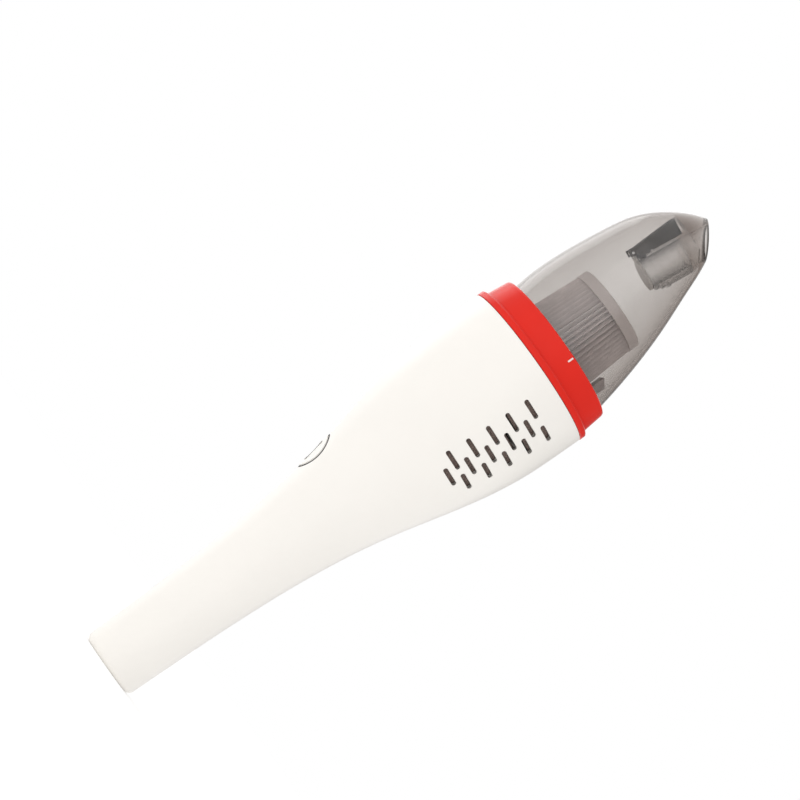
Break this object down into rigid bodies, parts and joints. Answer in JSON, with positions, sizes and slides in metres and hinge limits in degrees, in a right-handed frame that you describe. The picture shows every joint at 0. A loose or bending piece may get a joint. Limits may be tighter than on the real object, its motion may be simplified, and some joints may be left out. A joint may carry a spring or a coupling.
{
  "type": "handheld vacuum",
  "caption": "Cordless handheld vacuum with a smoked lift-off dust cup, pleated filter, side vents and a slim battery grip.",
  "frame": {"origin": "centre of the flat tail face, which the vacuum stands on", "axes": "+Z runs from the tail to the inlet, -Y is the switch side, +X the side whose casing half has no screw heads"},
  "size_m": [0.0808, 0.0808, 0.3399],
  "materials": {
    "shell_white": "moulded, satin gloss",
    "collar_red": "moulded, gloss",
    "mark_white": "inlaid mark",
    "smoked_clear": "clear smoked, polished",
    "duct_clear": "clear smoked, polished",
    "rubber_black": "matt",
    "silicone_grey": "soft, matt",
    "steel_bright": "plated",
    "motor_steel": "zinc plated",
    "filter_grey": "moulded",
    "pleat_paper": "pleated filter paper",
    "frame_black": "moulded",
    "foam_dark": "open-cell foam",
    "foam_screen": "open-cell foam",
    "fan_plastic": "glass filled",
    "cell_wrap": "shrink sleeve",
    "nickel": "nickel strip",
    "board_green": "solder mask",
    "wire_red": "sleeved",
    "wire_black": "sleeved",
    "magnet_dark": "ferrite",
    "rotor_iron": "laminated",
    "bronze": "sintered",
    "mount_zinc": "plated"
  },
  "bodies": {
    "body": {"casing_right": "shell_white", "casing_left": "shell_white", "collar_ring": "collar_red", "alignment_mark": "mark_white", "motor_boot": "rubber_black", "filter_gasket": "rubber_black", "casing_screws": "steel_bright", "motor_screws": "steel_bright", "charging_port": "steel_bright", "motor_can": "motor_steel", "filter_seat": "frame_black", "fan_shroud": "frame_black", "cell_tray": "frame_black", "button_guide": "frame_black", "port_tongue": "frame_black", "push_switch": "frame_black", "motor_end_bell": "frame_black", "button_bezel": "frame_black", "motor_sleeve": "foam_dark", "vent_screen_right": "foam_screen", "vent_screen_left": "foam_screen", "battery_cell_rear": "cell_wrap", "battery_cell_front": "cell_wrap", "cell_strips": "nickel", "motor_terminals": "nickel", "control_board": "board_green", "charge_board": "board_green", "motor_lead_red": "wire_red", "motor_lead_black": "wire_black", "charge_leads": "wire_black", "motor_magnets": "magnet_dark", "front_bushing": "bronze", "rear_bushing": "bronze", "motor_mount": "mount_zinc"},
    "button": {"power_button": "shell_white", "switch_plunger": "frame_black"},
    "fan": {"motor_shaft": "steel_bright", "motor_rotor": "rotor_iron", "impeller": "fan_plastic", "impeller_nut": "steel_bright"},
    "filter": {"filter_base": "filter_grey", "filter_pleats": "pleat_paper", "filter_core": "frame_black", "filter_end_cap": "filter_grey"},
    "seal": {"cup_seal": "silicone_grey"},
    "cup": {"dust_cup": "smoked_clear", "inlet_duct": "duct_clear", "flap_strap": "rubber_black", "flap_pin": "steel_bright"},
    "flap": {"inlet_flap": "silicone_grey"}
  },
  "joints": [
    {"name": "button_press", "type": "slide", "parent": "body", "child": "button", "axis": [0, 0.9817, 0.1905], "range_m": [0, 0.0014], "stiffness_N_per_m": 400, "springref_m": -0.0008},
    {"name": "fan_spin", "type": "hinge", "parent": "body", "child": "fan", "pos_m": [0, 0, 0.2], "axis": [0, 0, 1], "continuous": true},
    {"name": "filter_pull", "type": "slide", "parent": "body", "child": "filter", "axis": [0, 0, 1], "range_m": [0, 0.006]},
    {"name": "cup_twist", "type": "hinge", "parent": "body", "child": "seal", "pos_m": [0, 0, 0.2423], "axis": [0, 0, 1], "range_deg": [0, 20]},
    {"name": "cup_pull", "type": "slide", "parent": "seal", "child": "cup", "axis": [0, 0, 1], "range_m": [0, 0.06]},
    {"name": "flap_swing", "type": "hinge", "parent": "cup", "child": "flap", "pos_m": [0, -0.01543, 0.30232], "axis": [-1, 0, 0], "range_deg": [0, 45], "stiffness_Nm_per_rad": 0.002, "springref_deg": -5.73}
  ]
}
